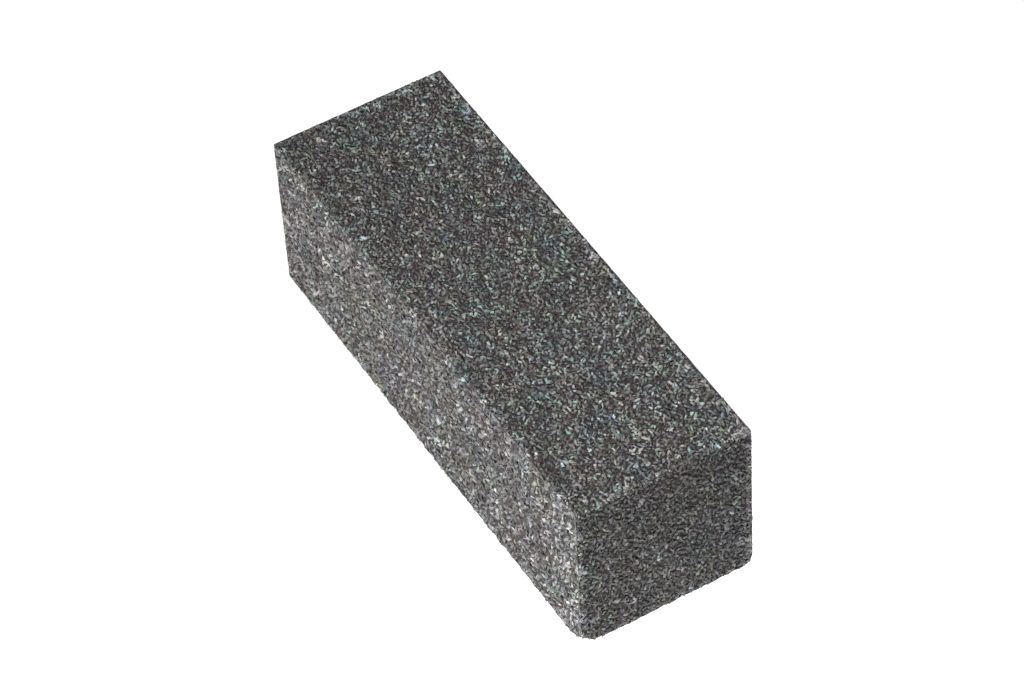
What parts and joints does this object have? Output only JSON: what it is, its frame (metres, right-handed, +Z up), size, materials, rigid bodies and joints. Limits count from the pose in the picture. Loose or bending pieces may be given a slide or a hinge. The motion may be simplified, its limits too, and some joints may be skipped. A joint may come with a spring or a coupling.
{
  "type": "sharpening whetstone",
  "caption": "Square bar whetstone of dark bonded silicon carbide grit, three times as long as it is wide, with lightly broken edges and a worn lower corner.",
  "frame": {"origin": "centre of the lower long face, which the stone rests on", "axes": "+X along the stone's length towards the end with the worn corner, +Y across its width, +Z up through the upper honing face"},
  "size_m": [0.075, 0.025, 0.025],
  "materials": {
    "bond": "matte, porous, dark grey fired bond full of fine grit",
    "grit": "glassy broken crystal, some facets tinted green or blue"
  },
  "bodies": {
    "root": {"bonded_body": "bond", "upper_grains": "grit", "lower_grains": "grit", "left_grains": "grit", "right_grains": "grit", "front_grains": "grit", "back_grains": "grit"}
  },
  "joints": []
}
